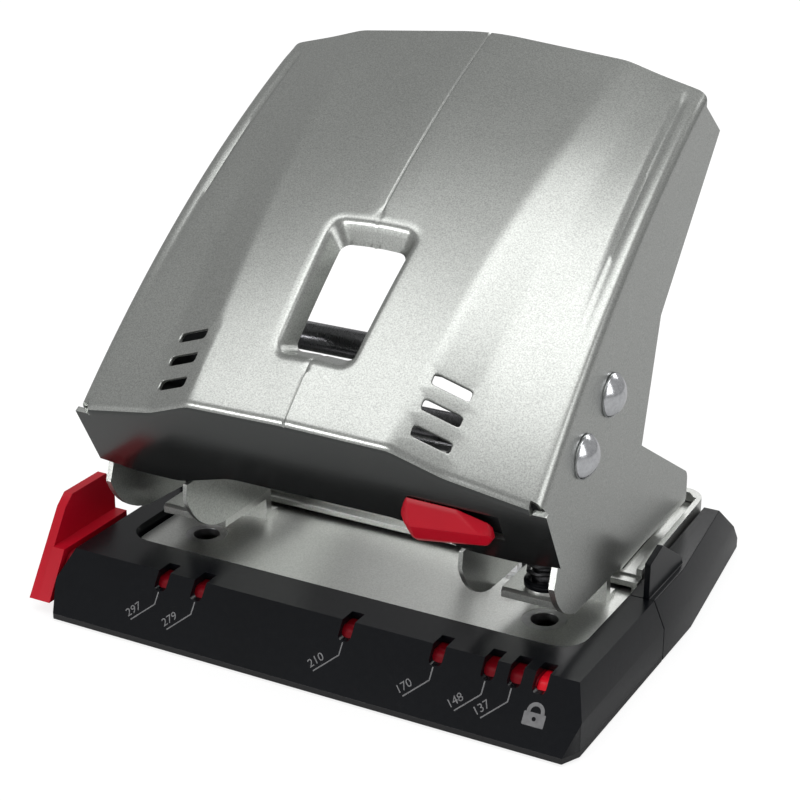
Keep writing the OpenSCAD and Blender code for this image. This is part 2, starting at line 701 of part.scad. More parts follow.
// Domed cap pressed over the end of a shaft
module shaft_cap(at) {
  r = cap_d / 2;
  h = 2.3;
  dome = (r * r + h * h) / 2 / h;
  translate([cap_x(at), at.x, at.y]) rotate([0, 90, 0]) difference() {
    union() {
      cylinder(r = r, h = 0.5);
      intersection() {
        translate([0, 0, 0.5 + h - dome]) sphere(r = dome, $fn = 64);
        translate([0, 0, 0.5 - tiny]) cylinder(r = r, h = h + 1);
      }
    }
    translate([0, 0, -1]) cylinder(r = shaft_d / 2 + run_fit, h = 2.05);
  }
}

module shaft_caps() color([0.8, 0.81, 0.83])
  both_sides() for (p = [lower_shaft_at, upper_shaft_at]) shaft_cap(p);

press_bottom = pin_top + 0.1;

module press_block(x) color([0.35, 0.36, 0.38])
  difference() {
    along_x(x - press_half, x + press_half)
      polygon(concat(
        [[hole_y - 5, press_bottom], [hole_y + 5, press_bottom]],
        arc(upper_shaft_at, shaft_d / 2 + 2, -30, 110, 8),
        arc(lower_shaft_at, shaft_d / 2 + 2, 110, 200, 6)));
    for (p = [lower_shaft_at, upper_shaft_at])
      bar_x(x - press_half - 1, x + press_half + 1, p, shaft_d / 2 + run_fit);
  }

module press_block_left() press_block(-hole_pitch / 2);
module press_block_right() press_block(hole_pitch / 2);

// Lock -------------------------------------------------------------------

button_outline = [[9, 1.6], [7.6, 4.6], [7.2, 11.8], [8.2, 14.8],
  [23.4, 11.2], [25.4, 9.6], [26.4, 4.2], [21, 1.2]];
button_centre = [16.5, 7.6];

module lock_button() color(red) {
  on_lip() translate([latch_x, 0, gap / 2]) hull() {
    linear_extrude(1.4) polygon(button_outline);
    linear_extrude(3.4) polygon([for (p = button_outline) button_centre + (p - button_centre) * 0.86]);
  }
  on_lip() translate([lock_slot[0].x + gap, lock_slot[0].y + gap, -sheet - gap])
    cube([7, lock_slot[1].y - lock_slot[0].y - 2 * gap, sheet + 2 * gap]);
}

// The latch hangs a hook behind the back stops, beside the striker on the bed
hook_top = bed_z + 8.6;
hook_t = 1.2;
arm_x = latch_x + 0.5;
arm_z = lip_z - 10;
ledge_under = bed_z + 5.6;
ledge_x = latch_x + 6.4 + lock_travel - 1;

module lock_latch() color(black) {
  on_lip() translate([latch_x, 4.6, -sheet - gap - 1.5]) cube([19, 7.6, 1.5]);
  translate([arm_x, lip_inner(arm_z) + 0.35, arm_z]) cube([2.5, stop_y + 5 - lip_inner(arm_z) - 0.35, 2]);
  translate([arm_x, stop_y + 2, hook_top - hook_t]) cube([2.5, 3, arm_z + tiny - hook_top + hook_t]);
  translate([arm_x, stop_y + 2, hook_top - hook_t]) cube([5.9, 3, hook_t]);
}

// Bent strip riveted to the bed; its ledge holds the hook down
module lock_striker() color(steel)
  translate([ledge_x, stop_y + 1.4, 0]) rotate([90, 0, 0]) mirror([0, 0, 1]) linear_extrude(4.6)
    polygon([[0, ledge_under], [0, ledge_under + 1.1], [3.2, ledge_under + 1.1], [3.2, bed_z],
      [-1, bed_z], [-1, bed_z + 1.1], [2.1, bed_z + 1.1], [2.1, ledge_under]]);

// Guide ------------------------------------------------------------------

function front_face_y(z) = front_y + (z - floor_top) / (deck_h - floor_top) * front_lean;

module guide_stop() color(red) {
  wall_z0 = 2.6;
  foot_x = -half_w - gap;
  along_x(stop_x - stop_t, stop_x)
    polygon([[front_face_y(wall_z0) + 1, wall_z0], [front_face_y(guide_h - 2.2), guide_h - 2.2],
      [front_face_y(guide_h - 2.2) + 2.6, guide_h], [bar_y1 + 13.6, guide_h], [bar_y1 + 16.2, guide_h - 3],
      [bar_y1 + 16.2, wall_z0]]);
  along_x(stop_x - tiny, foot_x)
    polygon([[front_face_y(wall_z0) + 1, wall_z0], [front_face_y(deck_h - 0.8), deck_h - 0.8],
      [bar_y1 + 16.2, deck_h - 0.8], [bar_y1 + 16.2, wall_z0]]);
}

// Section of the bar, parallel to the leaning front wall and grown by d
module guide_section(d) {
  r = 2.4 + d;
  lean = atan(front_lean / (deck_h - floor_top));
  top = bar_z1 + d;
  inset = base_wall + gap - d / cos(lean);
  y0 = front_face_y(top - r) + inset + r / cos(lean);
  polygon(concat([[front_face_y(bar_z0 - d) + inset, bar_z0 - d]], arc([y0, top - r], r, 180 - lean, 90, 5),
    [[bar_y1 + d, top], [bar_y1 + d, bar_z0 - d]]));
}

pointer_w = window_w - 0.5;

module guide_bar() color(red)
  along_x(-half_w - gap, lock_window_x - pointer_w / 2) guide_section(0);

module guide_pointer() color([0.9, 0.1, 0.14])
  along_x(lock_window_x - pointer_w / 2, lock_window_x + pointer_w / 2) guide_section(0);

// Chip tray ------------------------------------------------------------------

grip_y = seam_y + 20;

module tray_plan(d) {
  grip = concat([[half_w - d, seam_y + gap], [half_w - d, grip_y - 4], [half_w - 1.6 - d, grip_y]],
    [[half_w - rear_draw - d, rear_y - 1.6], [half_w - rear_draw - 1.6 - d, rear_y]]);
  polygon(concat(grip, mirror_x(grip)));
}

module tray_block() {
  intersection() {
    hull() {
      translate([0, 0, foot_h]) linear_extrude(bevel_z - foot_h) tray_plan(0);
      translate([0, 0, deck_h - tiny]) linear_extrude(tiny) tray_plan(bevel_in);
    }
    along_x(-half_w, half_w)
      polygon([[seam_y, foot_h], [seam_y, deck_h], [deck_rear_y, deck_h],
        [rear_y - 0.6, foot_h + 1.4], [rear_y - 0.6, foot_h]]);
  }
}

bin_half = rail_in - gap;
bin_front = bed_front_y + 2 + gap;
bin_top = ledge_z - 0.4 - gap;

module bin_box() {
  difference() {
    slab(2 * bin_half, bin_front, deck_rear_y + 3, floor_top + gap, bin_top);
    slab(2 * bin_half - 2.4, bin_front + 1.2, deck_rear_y - 1, floor_top + gap + 1.2, bin_top + 1);
  }
}

module finger_tab() {
  along_x(bed_half + 3.6, bed_half + 4.9)
    polygon([[seam_y + gap, deck_h - 3], [seam_y + gap, tab_h - 1.6], [seam_y + 6.6, tab_h],
      [seam_y + 18, deck_h + 1.8], [seam_y + 20, deck_h - 3]]);
}

module chip_tray() color(black) {
  difference() {
    tray_block();
    // room for the raised rear of the bed
    translate([0, 0, bin_top]) linear_extrude(deck_h) platform_plan(pan_room, seam_y - 1);
    // room for the floor, its rails and the bed above them
    slab(2 * (rail_out + gap), seam_y - 1, deck_rear_y + gap, 0, bin_top + tiny);
    // hollow side wings
    both_sides() translate([rail_out + gap + base_wall, seam_y + 2 * base_wall, 0])
      cube([half_w - rear_draw - 2 * base_wall - rail_out - gap - 1, deck_rear_y - seam_y - 4 * base_wall,
        bevel_z - base_wall]);
  }
  bin_box();
  both_sides() finger_tab();
}

base_housing();
base_floor();
rubber_sole();
floor_screws();
bed_pan();
bed_screws();
die_bush_left();
die_bush_right();
punch_tower_left();
punch_tower_right();
tower_rivets();
pin_ring_left();
pin_ring_right();
punch_pin_left();
punch_pin_right();
return_spring_left();
return_spring_right();
hinge_bracket_left();
hinge_bracket_right();
pivot_axle();
lock_striker();
handle_shell();
lever_plate_left();
lever_plate_right();
upper_shaft();
lower_shaft();
shaft_caps();
press_block_left();
press_block_right();
lock_button();
lock_latch();
guide_stop();
guide_bar();
guide_pointer();
chip_tray();
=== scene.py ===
import json
import math

import bmesh
import bpy
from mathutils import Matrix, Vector
from mathutils.geometry import tessellate_polygon


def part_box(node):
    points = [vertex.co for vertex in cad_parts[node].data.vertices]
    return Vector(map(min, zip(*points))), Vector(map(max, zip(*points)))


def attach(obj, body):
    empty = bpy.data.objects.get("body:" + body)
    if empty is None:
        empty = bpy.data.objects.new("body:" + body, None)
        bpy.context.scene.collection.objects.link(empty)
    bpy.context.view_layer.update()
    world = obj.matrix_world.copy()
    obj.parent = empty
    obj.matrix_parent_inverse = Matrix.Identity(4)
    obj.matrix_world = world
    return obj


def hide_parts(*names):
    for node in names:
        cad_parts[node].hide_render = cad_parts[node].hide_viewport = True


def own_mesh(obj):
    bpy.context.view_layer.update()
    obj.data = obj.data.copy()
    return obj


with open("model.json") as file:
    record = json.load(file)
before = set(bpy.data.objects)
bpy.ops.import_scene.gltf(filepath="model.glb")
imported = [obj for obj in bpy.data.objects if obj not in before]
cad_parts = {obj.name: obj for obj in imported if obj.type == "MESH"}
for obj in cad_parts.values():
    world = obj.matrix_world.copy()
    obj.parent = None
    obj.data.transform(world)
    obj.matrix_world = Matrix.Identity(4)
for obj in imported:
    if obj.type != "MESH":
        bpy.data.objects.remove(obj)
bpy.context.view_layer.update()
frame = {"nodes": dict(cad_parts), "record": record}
MM = 0.001

# Camera -----------------------------------------------------------------

AZIMUTH, ELEVATION = math.radians(28.71), math.radians(22.22)
TARGET = Vector((-3.49, 0, 41.96)) * MM
DISTANCE = 417.29 * MM
back = Vector((math.sin(AZIMUTH) * math.cos(ELEVATION), -math.cos(AZIMUTH) * math.cos(ELEVATION), math.sin(ELEVATION)))
camera = bpy.data.objects.new("camera", bpy.data.cameras.new("camera"))
bpy.context.collection.objects.link(camera)
camera.location = TARGET + back * DISTANCE
camera.rotation_euler = (-back).to_track_quat("-Z", "Y").to_euler()
camera.data.sensor_width = 36
camera.data.lens = 89.54
camera.data.clip_start = 0.01
bpy.context.scene.camera = camera


# Materials --------------------------------------------------------------

class Nodes:
    """A short way to build a node material."""

    def __init__(self, name):
        self.mat = bpy.data.materials.new(name)
        self.mat.use_nodes = True
        self.tree = self.mat.node_tree
        self.bsdf = self.tree.nodes["Principled BSDF"]
        self.coord = self.tree.nodes.new("ShaderNodeTexCoord").outputs["Object"]

    def add(self, kind, **values):
        node = self.tree.nodes.new(kind)
        for key, value in values.items():
            if hasattr(node, key):
                setattr(node, key, value)
            else:
                node.inputs[key.replace("_", " ")].default_value = value
        return node

    def link(self, a, b):
        self.tree.links.new(a, b)

    def noise(self, scale, detail=2.0, rough=0.5, stretch=None):
        node = self.add("ShaderNodeTexNoise", Scale=scale, Detail=detail, Roughness=rough)
        if stretch:
            mapping = self.add("ShaderNodeMapping")
            mapping.inputs["Scale"].default_value = stretch
            self.link(self.coord, mapping.inputs["Vector"])
            self.link(mapping.outputs["Vector"], node.inputs["Vector"])
        else:
            self.link(self.coord, node.inputs["Vector"])
        return node.outputs["Fac"]

    def ramp(self, source, stops):
        node = self.add("ShaderNodeValToRGB")
        while len(node.color_ramp.elements) < len(stops):
            node.color_ramp.elements.new(0.5)
        for element, (place, colour) in zip(node.color_ramp.elements, stops):
            element.position = place
            element.color = (*colour, 1)
        self.link(source, node.inputs["Fac"])
        return node.outputs["Color"]

    def spread(self, source, low, high):
        node = self.add("ShaderNodeMapRange")
        node.inputs["To Min"].default_value = low
        node.inputs["To Max"].default_value = high
        self.link(source, node.inputs["Value"])
        return node.outputs["Result"]

    def bump(self, source, distance, strength):
        node = self.add("ShaderNodeBump", Strength=strength, Distance=distance)
        self.link(source, node.inputs["Height"])
        return node.outputs["Normal"]

    def finish(self, colour=None, rough=None, normal=None, **fixed):
        for socket, source in (("Base Color", colour), ("Roughness", rough), ("Normal", normal)):
            if source is not None:
                self.link(source, self.bsdf.inputs[socket])
        for key, value in fixed.items():
            self.bsdf.inputs[key.replace("_", " ")].default_value = value
        return self.mat


def around(colour, amount):
    return [tuple(c * (1 - amount) for c in colour), tuple(min(1, c * (1 + amount)) for c in colour)]


def paint(name, colour, rough, flake=0.16, metallic=0.93):
    """Metallic lacquer: fine bright flakes over a slowly varying ground."""
    n = Nodes(name)
    dark, light = around(colour, flake)
    flakes = n.noise(3600, 1.0, 0.6)
    colour_out = n.ramp(flakes, [(0.32, dark), (0.5, colour), (0.7, light)])
    mottled = n.spread(n.noise(60, 3.0), rough - 0.03, rough + 0.05)
    normal = n.bump(flakes, 0.00001, 0.3)
    return n.finish(colour_out, mottled, normal, Metallic=metallic, Coat_Weight=0.12, Coat_Roughness=0.25)


def plastic(name, colour, rough, grain=900, grain_depth=0.00003, tint=0.12, shine=0.5):
    """Moulded plastic: spark-eroded grain and faint colour drift."""
    n = Nodes(name)
    dark, light = around(colour, tint)
    colour_out = n.ramp(n.noise(45, 3.0), [(0.3, dark), (0.7, light)])
    grain_out = n.noise(grain, 3.0, 0.6)
    rough_out = n.spread(grain_out, rough - 0.04, rough + 0.06)
    return n.finish(colour_out, rough_out, n.bump(grain_out, grain_depth, 0.5), Specular_IOR_Level=shine)


def metal(name, colour, rough, stretch, scale=900, metallic=1.0):
    """Bare metal with drawn or turned marks along one axis."""
    n = Nodes(name)
    marks = n.noise(scale, 3.0, 0.6, stretch)
    dark, light = around(colour, 0.12)
    colour_out = n.ramp(marks, [(0.3, dark), (0.7, light)])
    rough_out = n.spread(marks, rough - 0.05, rough + 0.1)
    return n.finish(colour_out, rough_out, n.bump(marks, 0.00001, 0.12), Metallic=metallic)


silver = paint("silver_lacquer", (0.4, 0.412, 0.395), 0.29, flake=0.2)
# Same silver lacquer as the handle, made far darker for the handle's lip: painted shade
painted_shade_silver = paint("silver_with_painted_lip_shade", (0.085, 0.09, 0.088), 0.12, flake=0.1)
bed_silver = paint("bed_lacquer", (0.52, 0.53, 0.51), 0.32, flake=0.12)
black = plastic("black_moulding", (0.003, 0.0036, 0.005), 0.24, shine=0.2)
floor_black = plastic("black_floor", (0.008, 0.008, 0.009), 0.5)
red = plastic("red_moulding", (0.45, 0.002, 0.014), 0.34, 1500, 0.00001, 0.08, 0.25)
pointer_red = plastic("bright_red_moulding", (0.85, 0.004, 0.018), 0.3, 1500, 0.00001, 0.05, 0.3)
bar_red = plastic("dark_red_moulding", (0.2, 0.001, 0.007), 0.36, 1500, 0.00001, 0.08, 0.15)
bare = metal("bright_steel", (0.5, 0.5, 0.51), 0.28, (1, 1, 12))
turned = metal("turned_steel", (0.2, 0.2, 0.21), 0.26, (12, 1, 1))
spring_steel = metal("spring_steel", (0.12, 0.12, 0.125), 0.3, (1, 1, 1))
dark_steel = metal("dark_steel", (0.07, 0.072, 0.078), 0.34, (1, 6, 1), 700, 0.9)
chrome = metal("polished_chrome", (0.62, 0.63, 0.65), 0.16, (1, 1, 1), 1400)
rubber = plastic("rubber", (0.02, 0.02, 0.02), 0.8, 1200, 0.00006)

LOOKS = {
    "base_housing": black, "base_floor": floor_black, "rubber_sole": rubber, "floor_screws": bare,
    "bed_pan": bed_silver, "bed_screws": bare, "die_bush_left": bare, "die_bush_right": bare,
    "punch_tower_left": bed_silver, "punch_tower_right": bed_silver, "tower_rivets": bare,
    "pin_ring_left": black, "pin_ring_right": black, "punch_pin_left": turned, "punch_pin_right": turned,
    "return_spring_left": spring_steel, "return_spring_right": spring_steel,
    "hinge_bracket_left": bare, "hinge_bracket_right": bare, "pivot_axle": turned, "lock_striker": bare,
    "handle_shell": silver, "lever_plate_left": silver, "lever_plate_right": silver,
    "upper_shaft": turned, "lower_shaft": turned, "shaft_caps": chrome,
    "press_block_left": dark_steel, "press_block_right": dark_steel,
    "lock_button": red, "lock_latch": black, "guide_stop": red, "guide_bar": bar_red,
    "guide_pointer": pointer_red, "chip_tray": black,
}
BODY = {node: body for body, nodes in frame["record"]["behaviour"]["bodies"].items() for node in nodes}
for name, node in frame["nodes"].items():
    for material_slot in node.material_slots:
        material_slot.material = LOOKS[name]

# Handle -------------------------------------------------------------------
# A folded sheet, laid out on columns across the handle and rows along it. Lengths here are millimetres.

HOLE_Y = -20.0
PIVOT = Vector((27.0, 22.0))
SHAFTS = (Vector((HOLE_Y - 7.6, 51.3)), Vector((HOLE_Y + 5.2, 58.9)))
LIP_Y, LIP_Z, LIP_SLOPE = HOLE_Y - 27.5, 48.1, 0.536
LIP_RUN = math.hypot(1, LIP_SLOPE)
REACH, TOP_Z, BULGE = 80.5, 106.6, 4.4
HALF_W, DRAW = 50.9, 2.6
TOP_Y = LIP_Y + REACH
CROWN = (8.2, 7.4)
BEND = 1.8
SHEET = 1.2
FOLD_T = 0.016
SLOT_X, SLOT_S = (26.5, 41.5), (4.4, 11.0)
TAIL_BOSS_IN = 42.9
SHAFT_HOLE, AXLE_HOLE = 3.03, 2.53
# Columns up to PLAIN lie at their own x, those up to BENT run out to the bend, and the rest go round it
PLAIN, BENT = 41.5, 49.5
BEND_IN = 2.4
LIP_START = 1.6
# Length of the skin along its profile, which turns the share t into millimetres
LENGTH = 101.0

chord = Vector((REACH, TOP_Z - LIP_Z))
chord_dir = chord.normalized()
chord_up = Vector((-chord_dir.y, chord_dir.x))
bulge_r = chord.length ** 2 / 8 / BULGE + BULGE / 2
bulge_a = math.asin(chord.length / 2 / bulge_r)


def mix(a, b, t):
    return a + (b - a) * t


def smooth(v):
    v = min(1.0, max(0.0, v))
    return v * v * (3 - 2 * v)


def profile(t):
    a = (2 * t - 1) * bulge_a
    along = chord.length / 2 + bulge_r * math.sin(a)
    return Vector((LIP_Y, LIP_Z)) + chord_dir * along + chord_up * (bulge_r * math.cos(a) - bulge_r + BULGE)


def side_x(y):
    return HALF_W - (y - LIP_Y) * DRAW / REACH


def edge_x(t):
    return side_x(profile(t).x)


def ramp(d, r):
    """Zero before a crease and rising after it, rounded over r on both sides."""
    return 0.0 if d < -r else d if d > r else (d + r) ** 2 / (4 * r)


def height(x, t):
    """Height of the skin above its side profile, with rounded creases and the groove beside the bend."""
    x = abs(x)
    top = mix(*CROWN, t)
    knots = [(0, top), (mix(22, 30.9, t), mix(0.94, 0.61, t) * top), (mix(32.1, 38.5, t), mix(0.45, 0.31, t) * top),
             (edge_x(t) - BEND, 0.04 * top)]
    slopes = [(b[1] - a[1]) / (b[0] - a[0]) for a, b in zip(knots, knots[1:])]
    soft = mix(1.2, 7, smooth(t))
    h = top + slopes[0] * (x if x > soft else (x * x / soft + soft) / 2)
    for knot, before, after, r in zip(knots[1:], slopes, slopes[1:], (mix(0.9, 1.5, t), mix(0.9, 1.3, t))):
        h += (after - before) * ramp(x - knot[0], r)
    groove = smooth((t - 0.2) / 0.45) * smooth((0.985 - t) / 0.04)
    return h - 0.6 * groove * math.exp(-((x - edge_x(t) + 3.9) / 0.85) ** 2) - 0.2 * max(0.0, 1 - x / 0.3)


def skin(x, t):
    p, h = profile(t), height(x, t)
    return Vector((x, p.x - LIP_SLOPE * h * (1 - t), p.y + h))


def skin_normal(x, t):
    across = skin(x + 0.2, t) - skin(x - 0.2, t)
    along = skin(x, t + 0.002) - skin(x, t - 0.002)
    return across.cross(along).normalized()


def bezier(a, b, c, k):
    return a * (1 - k) ** 2 + b * 2 * k * (1 - k) + c * k * k


def skin_at(c, t):
    """The point of column c at share t."""
    side, c = (-1, -c) if c < 0 else (1, c)
    x_bend = edge_x(t) - BEND_IN
    if c <= PLAIN:
        return skin(side * c, t)
    if c <= BENT:
        return skin(side * mix(PLAIN, x_bend, (c - PLAIN) / (BENT - PLAIN)), t)
    p = profile(t)
    a = skin(x_bend, t)
    y = p.x + LIP_SLOPE * BEND * (1 - t)
    low = Vector((side_x(y), y, p.y - BEND))
    slope = (a.z - skin(x_bend - 0.3, t).z) / 0.3
    corner = Vector((edge_x(t), a.y, a.z + slope * BEND_IN))
    v = bezier(a, corner, low, c - BENT)
    return Vector((side * v.x, v.y, v.z))


def lip(x, s):
    return Vector((x, LIP_Y + LIP_SLOPE * s / LIP_RUN, LIP_Z - s / LIP_RUN))


def lip_end(x):
    """Distance down the lip to its lower edge."""
    knots = [(0, 12.5), (19, 12.5), (32.5, 17.5), (43, 17.5), (52, 16.0)]

    def at(v):
        v = min(abs(v), 51.99)
        for a, b in zip(knots, knots[1:]):
            if v <= b[0]:
                return mix(a[1], b[1], (v - a[0]) / (b[0] - a[0]))
    return sum(at(x + k * 0.9) for k in (-2, -1, 0, 1, 2)) / 5 - 0.1


columns = [0.0, 0.15, 0.3] + [0.5 + k for k in range(50)] + [BENT + k / 6 for k in range(1, 7)]
columns = [-c for c in reversed(columns[1:])] + columns
vent_rows = [0.03 + k * 0.0525 / 4 for k in range(13)]
rows = [("t", t) for t in reversed([FOLD_T] + vent_rows + [mix(vent_rows[-1], 1, k / 58) for k in range(1, 59)])]
rows += [("fold", k / 6) for k in range(1, 7)] + [("lip", v) for v in (0.5, 1.0)] + [("s", SLOT_S[0])]
rows += [("s", mix(*SLOT_S, k / 3)) for k in (1, 2, 3)] + [("end", 1.0)]


def place(c, row):
    kind, v = row
    if kind == "t":
        return skin_at(c, v)
    top = skin_at(max(-BENT, min(BENT, c)), 0)
    s_fold = (LIP_Z - top.z) * LIP_RUN + LIP_START
    if kind == "fold":
        return bezier(skin_at(c, FOLD_T), top, lip(top.x, s_fold), v)
    x = top.x if abs(c) <= BENT else math.copysign(mix(abs(top.x), HALF_W + 0.9, abs(c) - BENT), c)
    s = {"lip": mix(s_fold, LIP_START, v) if abs(c) < BENT + 0.1 else 1.1, "s": v, "end": lip_end(x)}[kind]
    return lip(x, s)


def rounded(corners, r, side, f):
    """A point f of the way along one side of a four-cornered outline whose corners are rounded by r."""
    a, b, other = corners[side], corners[(side + 1) % 4], corners[side - 1]
    if f > 0.5:
        a, b, other, f = b, a, corners[(side + 2) % 4], 1 - f
    length = (b - a).length
    along, away = (b - a) / length, (other - a).normalized()
    half = math.acos(max(-1, min(1, along.dot(away)))) / 2
    reach = r / math.tan(half)
    if f * length >= reach:
        return a + along * f * length
    centre = a + (along + away).normalized() * (r / math.sin(half))
    start, end = a + along * reach - centre, a - centre
    turn = math.atan2(start.x * end.y - start.y * end.x, start.dot(end)) * (1 - f * length / reach)
    return centre + Vector((start.x * math.cos(turn) - start.y * math.sin(turn),
                            start.x * math.sin(turn) + start.y * math.cos(turn))) * (r / start.length)


def trapezium(w0, w1, t0, t1, x=0.0):
    """Corners in (x, t * LENGTH), anticlockwise from the lower left."""
    return [Vector((x + w, t * LENGTH)) for w, t in ((-w0, t0), (w0, t0), (w1, t1), (-w1, t1))]


def window_ring(grow, r, depth):
    k = depth / 4.1
    return (trapezium(mix(8.34, 6.8, k) + grow, mix(9.8, 7.6, k) + grow, mix(0.137, 0.17, k) - grow / LENGTH,
                      mix(0.452, 0.42, k) + grow / LENGTH), r, depth)


# Growth, corner radius and depth of the window's rings, from its rim in
WINDOW = ((1.9, 4.4, 0), (1.0, 3.6, 0.02), (0.5, 3.2, 0.14), (0.15, 2.9, 0.4), (0, 2.7, 0.85), (0, 2.5, 1.9),
          (0, 2.2, 3.2), (0, 2.0, 4.1))
VENT = ((0.3, 0.0), (0.08, 0.05), (-0.02, 0.25), (-0.04, 0.5))
VENT_HALF_W, VENT_HALF_H = 3.64, 1.1
# Each opening is a box of columns and rows, then rings (corners, corner radius, depth) from its outside in
openings = [(-13.5, 13.5, 6, None, [window_ring(*ring) for ring in WINDOW])]
for side in (-1, 1):
    for k, t in enumerate((0.055, 0.108, 0.16)):
        x = side * mix(28.3, 29.3, t)
        rings = [(trapezium(VENT_HALF_W + g, VENT_HALF_W + g, t - (VENT_HALF_H + g) / LENGTH,
                            t + (VENT_HALF_H + g) / LENGTH, x), 0.55 + g, d) for g, d in VENT]
        openings.append((min(side * 22.5, side * 34.5), max(side * 22.5, side * 34.5), 4 * k, 4 * k + 4, rings))


def tie(faces, a, b):
    """Quads between two closed loops of as many points."""
    for k in range(len(a)):
        n = (k + 1) % len(a)
        faces.append((a[k], a[n], b[n], b[k]))


def sheet_mesh():
    verts, faces, known = [], [], {}

    def point(i, j):
        if (i, j) not in known:
            known[i, j] = len(verts)
            verts.append(place(columns[i], rows[j]))
        return known[i, j]

    first = {t: j for j, (kind, t) in enumerate(rows) if kind == "t"}
    vents_at = [first[t] for t in vent_rows]
    boxes = []
    for x0, x1, r0, r1, rings in openings:
        i0, i1 = [min(range(len(columns)), key=lambda i: abs(columns[i] - x)) for x in (x0, x1)]
        if r1 is None:
            low = vents_at[r0]
            high = min(first.values(), key=lambda j: abs(rows[j][1] - 0.5))
        else:
            low, high = vents_at[r0], vents_at[r1]
        boxes.append((i0, i1, low, high, rings))
    last_t = first[FOLD_T]
    gap_to = next(j for j, row in enumerate(rows) if row == ("lip", 1.0))
    slot = [j for j, (kind, s) in enumerate(rows) if kind == "s"]
    for i in range(len(columns) - 1):
        c0, c1 = columns[i], columns[i + 1]
        bend = max(abs(c0), abs(c1)) > 49.51
        for j in range(len(rows) - 1):
            if bend and last_t <= j < gap_to:
                continue
            if SLOT_X[0] - 0.01 < c0 and c1 < SLOT_X[1] + 0.01 and slot[0] <= j < slot[-1]:
                continue
            if any(i0 <= i < i1 and high <= j < low for i0, i1, low, high, _ in boxes):
                continue
            faces.append((point(i, j), point(i, j + 1), point(i + 1, j + 1), point(i + 1, j)))
    for i0, i1, low, high, rings in boxes:
        sides = [[(i, low) for i in range(i0, i1)], [(i1, j) for j in range(low, high, -1)],
                 [(i, high) for i in range(i1, i0, -1)], [(i0, j) for j in range(high, low)]]
        loop = [point(i, j) for side in sides for i, j in side]
        for corners, r, depth in rings:
            inner = []
            for number, side in enumerate(sides):
                for k in range(len(side)):
                    at = rounded(corners, r, number, k / len(side))
                    x, t = at.x, at.y / LENGTH
                    inner.append(len(verts))
                    verts.append(skin(x, t) - skin_normal(x, t) * depth)
            tie(faces, loop, inner)
            loop = inner
    edge_rows = [j for j in range(len(rows)) if rows[j][0] == "t"]
    return verts, faces, [[verts[point(i, j)] for j in edge_rows] for i in (0, len(columns) - 1)]


def arc(centre, r, a0, a1, steps=6):
    return [Vector((centre[0] + r * math.cos(math.radians(mix(a0, a1, k / steps))),
                    centre[1] + r * math.sin(math.radians(mix(a0, a1, k / steps))))) for k in range(steps + 1)]


def circle(centre, r, steps=40):
    return [Vector((centre[0] + r * math.cos(math.tau * k / steps), centre[1] + r * math.sin(math.tau * k / steps)))
            for k in range(steps)]


def add_side(verts, faces, top):
    """The flange below one side bend. top is the bend's last column, from the upper end down to the lip."""
    sign = 1 if top[0].x > 0 else -1
    strip = len(verts)
    below = [Vector((sign * side_x(p.y), p.y, p.z - 1.2)) for p in top]
    verts += list(top) + below
    n = len(top)
    for k in range(n - 1):
        quad = (strip + k, strip + n + k, strip + n + k + 1, strip + k + 1)
        faces.append(quad if sign < 0 else quad[::-1])
    edge = [Vector((p.y, p.z)) for p in below]
    outline = [Vector((TOP_Y + 9.6, TOP_Z - 10)), PIVOT + Vector((-15.2, 44.3)), PIVOT + Vector((-22.8, 19.1))]
    outline += arc((PIVOT.x + 4.6, PIVOT.y - 0.6), 3, 62, 0) + arc((PIVOT.x + 6.6, PIVOT.y - 4.7), 1, 0, -90)
    outline += [Vector((HOLE_Y - 3, 19.05))] + arc((HOLE_Y - 5.5, 34.45), 15.4, 262, 200, 8)
    outline += [Vector((LIP_Y + LIP_SLOPE * s / LIP_RUN + 1.6, LIP_Z - s / LIP_RUN)) for s in (16, 5)]
    ring = outline[::-1] + edge
    holes = [circle(p, SHAFT_HOLE) for p in SHAFTS]
    base = len(verts)
    flat = [p for loop in [ring] + holes for p in loop]
    verts += [Vector((sign * side_x(p.x), p.x, p.y)) for p in flat]
    for tri in tessellate_polygon([[Vector((p.x, p.y, 0)) for p in loop] for loop in [ring] + holes]):
        a, b, c = [flat[k] for k in tri]
        turn = (b - a).x * (c - a).y - (b - a).y * (c - a).x
        if abs(turn) > 1e-9:
            tri = tri if (turn > 0) == (sign > 0) else tri[::-1]
            faces.append(tuple(base + k for k in tri))


def tail_boss(sign):
    """Turned collar on the inside of a flange, round the rear axle."""
    outer, inner = sign * (side_x(PIVOT.x) - 0.6), sign * TAIL_BOSS_IN
    steps = 48
    verts, faces, loops = [], [], []
    for x, r in ((outer, 4.0), (inner + sign * 0.35, 4.0), (inner + sign * 0.1, 3.9), (inner, 3.65), (inner, 2.8),
                 (inner + sign * 0.15, 2.6), (inner + sign * 0.4, AXLE_HOLE), (outer, AXLE_HOLE)):
        loops.append(list(range(len(verts), len(verts) + steps)))
        verts += [Vector((x, p.x, p.y)) for p in circle(PIVOT, r, steps)]
    for a, b in zip(loops, loops[1:] + loops[:1]):
        tie(faces, a, b)
    return verts, faces


